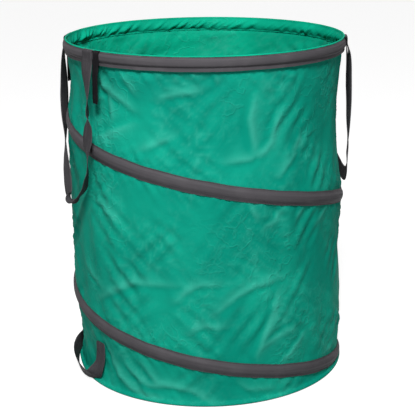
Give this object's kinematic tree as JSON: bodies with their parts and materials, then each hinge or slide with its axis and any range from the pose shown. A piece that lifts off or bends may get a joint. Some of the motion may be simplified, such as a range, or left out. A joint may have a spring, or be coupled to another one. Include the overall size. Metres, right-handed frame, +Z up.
{
  "type": "pop up leaf bag",
  "caption": "Tall round cloth bag held open by hoops and a spiral spring, with webbing carry loops, closing straps and a tipping handle low on the wall.",
  "frame": {"origin": "centre of the underside, on the surface that the bag stands on", "axes": "+Z up along the bag's axis towards its open mouth; -X towards the side that has the tipping handle; the carry handles lie opposite each other, 5 degrees round from the X axis"},
  "size_m": [0.619, 0.5642, 0.68],
  "materials": {
    "bag_cloth": "woven polyethylene cloth, slightly shiny",
    "edge_tape": "woven polypropylene tape, matt",
    "webbing": "ribbed polypropylene webbing, matt",
    "closing_hook_tape": "hook and loop tape, matt black",
    "spring_wire": "plain spring steel wire"
  },
  "bodies": {
    "base": {"base_panel": "bag_cloth", "wall_panel": "bag_cloth", "base_piping": "edge_tape", "base_hoop_wire": "spring_wire", "spring_coil": "spring_wire", "spiral_tape": "edge_tape", "tipping_patch_front": "webbing", "tipping_patch_back": "webbing"},
    "rim": {"rim_hoop_wire": "spring_wire", "rim_tape": "edge_tape", "rim_hem": "bag_cloth"},
    "carry_left_ends": {"carry_tab_left_front": "webbing", "carry_tab_left_back": "webbing"},
    "carry_left": {"carry_handle_left": "webbing"},
    "carry_right_ends": {"carry_tab_right_front": "webbing", "carry_tab_right_back": "webbing"},
    "carry_right": {"carry_handle_right": "webbing"},
    "tipping": {"tipping_handle": "webbing"},
    "closing_left_front": {"closing_strap_left_front": "closing_hook_tape"},
    "closing_left_back": {"closing_strap_left_back": "closing_hook_tape"},
    "closing_right_front": {"closing_strap_right_front": "closing_hook_tape"},
    "closing_right_back": {"closing_strap_right_back": "closing_hook_tape"}
  },
  "joints": [
    {"name": "collapse", "type": "slide", "parent": "base", "child": "rim", "axis": [0, 0, -1], "range_m": [0, 0.57], "stiffness_N_per_m": 60, "springref_m": -0.25, "deforming": ["wall_panel", "spring_coil", "spiral_tape", "tipping_patch_front", "tipping_patch_back", "tipping_handle"]},
    {"name": "carry_left_lay", "type": "hinge", "parent": "rim", "child": "carry_left_ends", "pos_m": [-0.24977, 0.02185, 0.6793], "axis": [0.0872, 0.9962, 0], "range_deg": [0, 76]},
    {"name": "carry_left_lift", "type": "hinge", "parent": "carry_left_ends", "child": "carry_left", "pos_m": [-0.26716, 0.02337, 0.6544], "axis": [0.0872, 0.9962, 0], "range_deg": [0, 163]},
    {"name": "carry_right_lay", "type": "hinge", "parent": "rim", "child": "carry_right_ends", "pos_m": [0.24977, -0.02185, 0.6793], "axis": [-0.0872, -0.9962, 0], "range_deg": [0, 76]},
    {"name": "carry_right_lift", "type": "hinge", "parent": "carry_right_ends", "child": "carry_right", "pos_m": [0.26716, -0.02337, 0.6544], "axis": [-0.0872, -0.9962, 0], "range_deg": [0, 163]},
    {"name": "tipping_lift", "type": "hinge", "parent": "base", "child": "tipping", "pos_m": [-0.25791, 0.02711, 0.06985], "axis": [0.1045, 0.9945, 0], "range_deg": [0, 130]},
    {"name": "closing_left_front_lift", "type": "hinge", "parent": "rim", "child": "closing_left_front", "pos_m": [-0.25579, -0.10785, 0.6793], "axis": [-0.3885, 0.9214, 0], "range_deg": [0, 120]},
    {"name": "closing_left_back_lift", "type": "hinge", "parent": "rim", "child": "closing_left_back", "pos_m": [-0.23318, 0.15063, 0.6793], "axis": [0.5426, 0.84, 0], "range_deg": [0, 120]},
    {"name": "closing_right_front_lift", "type": "hinge", "parent": "rim", "child": "closing_right_front", "pos_m": [0.25579, 0.10785, 0.6793], "axis": [0.3885, -0.9214, 0], "range_deg": [0, 120]},
    {"name": "closing_right_back_lift", "type": "hinge", "parent": "rim", "child": "closing_right_back", "pos_m": [0.23318, -0.15063, 0.6793], "axis": [-0.5426, -0.84, 0], "range_deg": [0, 120]}
  ],
  "couplings": [
    {"joint": "carry_left_lay", "follows": "collapse", "rad_per_m": 2.3266},
    {"joint": "carry_right_lay", "follows": "collapse", "rad_per_m": 2.3266}
  ]
}
